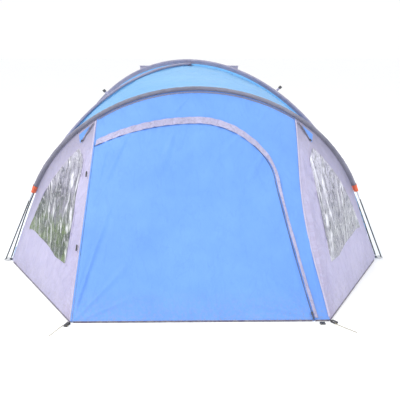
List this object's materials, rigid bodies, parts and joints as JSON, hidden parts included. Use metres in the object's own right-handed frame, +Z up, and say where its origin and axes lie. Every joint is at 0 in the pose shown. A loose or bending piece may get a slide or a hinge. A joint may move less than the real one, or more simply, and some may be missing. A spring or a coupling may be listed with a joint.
{
  "type": "dome tent",
  "caption": "Two-pole dome tent with a pole-framed front porch, a curved side-opening door, clear side windows and a propped rear vent hood.",
  "frame": {"origin": "on the ground under the groundsheet, at the centre of the cabin", "axes": "+Z up, the porch door faces -Y, +X to the right of someone facing the door from outside"},
  "size_m": [2.622, 3.4255, 1.3168],
  "materials": {
    "fabric_blue": "matte",
    "fabric_roof": "matte",
    "fabric_grey": "matte",
    "fabric_flap": "matte",
    "sleeve_pale": "matte",
    "sleeve_dark": "matte",
    "tab_orange": "matte",
    "webbing_black": "matte",
    "hem_dark": "matte",
    "mesh_black": "matte",
    "floor_grey": "matte",
    "inner_grey": "matte",
    "pvc_clear": "gloss",
    "fibreglass": "satin",
    "steel": "satin",
    "elastic": "matte",
    "zip_dark": "matte",
    "plastic_black": "satin",
    "peg_khaki": "matte"
  },
  "bodies": {
    "tent": {"apex_patch": "sleeve_dark", "cabin_hem": "hem_dark", "cabin_rear": "fabric_blue", "cabin_side_left": "fabric_grey", "cabin_side_right": "fabric_grey", "corner_gusset_left": "fabric_blue", "corner_gusset_right": "fabric_blue", "corner_ring_front_left": "steel", "corner_ring_front_right": "steel", "corner_ring_rear_left": "steel", "corner_ring_rear_right": "steel", "corner_straps": "webbing_black", "door_surround": "fabric_blue", "door_zip": "zip_dark", "front_strap_left": "webbing_black", "front_strap_right": "webbing_black", "groundsheet": "floor_grey", "gusset_zip_left": "zip_dark", "gusset_zip_right": "zip_dark", "guy_loops": "sleeve_pale", "guy_tensioners": "plastic_black", "inner_front_wall": "inner_grey", "ladder_lock": "plastic_black", "main_pole_lower": "fibreglass", "main_pole_upper": "fibreglass", "main_sleeve_front_left": "sleeve_pale", "main_sleeve_front_right": "sleeve_pale", "main_sleeve_rear_left": "sleeve_pale", "main_sleeve_rear_right": "sleeve_pale", "pole_ferrules": "steel", "pole_shock_cords": "elastic", "porch_hem_left": "hem_dark", "porch_hem_right": "hem_dark", "porch_pole": "fibreglass", "porch_roof": "fabric_roof", "porch_side_left": "fabric_grey", "porch_side_right": "fabric_grey", "porch_sleeve": "sleeve_dark", "sleeve_end_tabs": "tab_orange", "storm_flap": "fabric_flap", "toggle_cords": "elastic", "vent_mesh": "mesh_black", "window_left": "pvc_clear", "window_right": "pvc_clear"},
    "door": {"door_panel": "fabric_blue", "door_hem": "hem_dark"},
    "inner_door": {"inner_door": "inner_grey"},
    "inner_slider": {"inner_zip_slider": "plastic_black"},
    "door_slider": {"door_zip_slider": "plastic_black"},
    "door_pull": {"door_zip_pull": "plastic_black"},
    "toggle_upper": {"door_toggle_upper": "plastic_black"},
    "toggle_lower": {"door_toggle_lower": "plastic_black"},
    "hood": {"vent_hood": "fabric_blue"},
    "prop": {"vent_prop": "plastic_black"},
    "peg_left": {"peg_left": "steel"},
    "peg_right": {"peg_right": "peg_khaki"},
    "gusset_slider_left": {"gusset_zip_slider_left": "plastic_black"},
    "gusset_slider_right": {"gusset_zip_slider_right": "plastic_black"}
  },
  "joints": [
    {"name": "door_hinge", "type": "hinge", "parent": "tent", "child": "door", "pos_m": [-0.6895, -2.15, 0.01], "axis": [0.0693, 0.6085, 0.7905], "range_deg": [-140, 0]},
    {"name": "inner_door_hinge", "type": "hinge", "parent": "tent", "child": "inner_door", "pos_m": [-0.56, -0.9968, 0.06], "axis": [0, 0.3872, 0.922], "range_deg": [-75, 0]},
    {"name": "door_zip_slide", "type": "slide", "parent": "tent", "child": "door_slider", "axis": [-0.201, 0.5589, 0.8045], "range_m": [0, 0.38]},
    {"name": "door_zip_pull_hinge", "type": "hinge", "parent": "door_slider", "child": "door_pull", "pos_m": [0.60686, -2.13835, 0.04068], "axis": [0.9795, 0.1262, 0.1571], "range_deg": [-150, 0]},
    {"name": "inner_zip_slide", "type": "slide", "parent": "tent", "child": "inner_slider", "axis": [0, 0.3872, 0.922], "range_m": [0, 0.42]},
    {"name": "toggle_upper_swivel", "type": "hinge", "parent": "tent", "child": "toggle_upper", "pos_m": [-0.67297, -1.60468, 0.69737], "axis": [-0.5909, -0.6185, 0.5179], "range_deg": [-90, 90]},
    {"name": "toggle_lower_swivel", "type": "hinge", "parent": "tent", "child": "toggle_lower", "pos_m": [-0.70215, -1.87845, 0.33679], "axis": [-0.7119, -0.5307, 0.4601], "range_deg": [-90, 90]},
    {"name": "vent_hood_hinge", "type": "hinge", "parent": "tent", "child": "hood", "pos_m": [0, 0.235, 1.247], "axis": [1, 0, 0], "range_deg": [-24, 0]},
    {"name": "vent_prop_fold", "type": "hinge", "parent": "hood", "child": "prop", "pos_m": [0, 0.42, 1.23802], "axis": [1, 0, 0], "range_deg": [0, 84]},
    {"name": "peg_left_slide", "type": "slide", "parent": "tent", "child": "peg_left", "axis": [-0.9326, 0.361, 0], "range_m": [0, 0.032]},
    {"name": "peg_right_slide", "type": "slide", "parent": "tent", "child": "peg_right", "axis": [-0.7828, -0.6222, 0], "range_m": [0, 0.032]},
    {"name": "gusset_zip_left_slide", "type": "slide", "parent": "tent", "child": "gusset_slider_left", "axis": [0.5257, 0.2431, 0.8152], "range_m": [0, 0.05]},
    {"name": "gusset_zip_right_slide", "type": "slide", "parent": "tent", "child": "gusset_slider_right", "axis": [-0.5257, 0.2431, 0.8152], "range_m": [0, 0.05]}
  ],
  "couplings": [
    {"joint": "vent_prop_fold", "follows": "vent_hood_hinge", "ratio": -3.5}
  ]
}
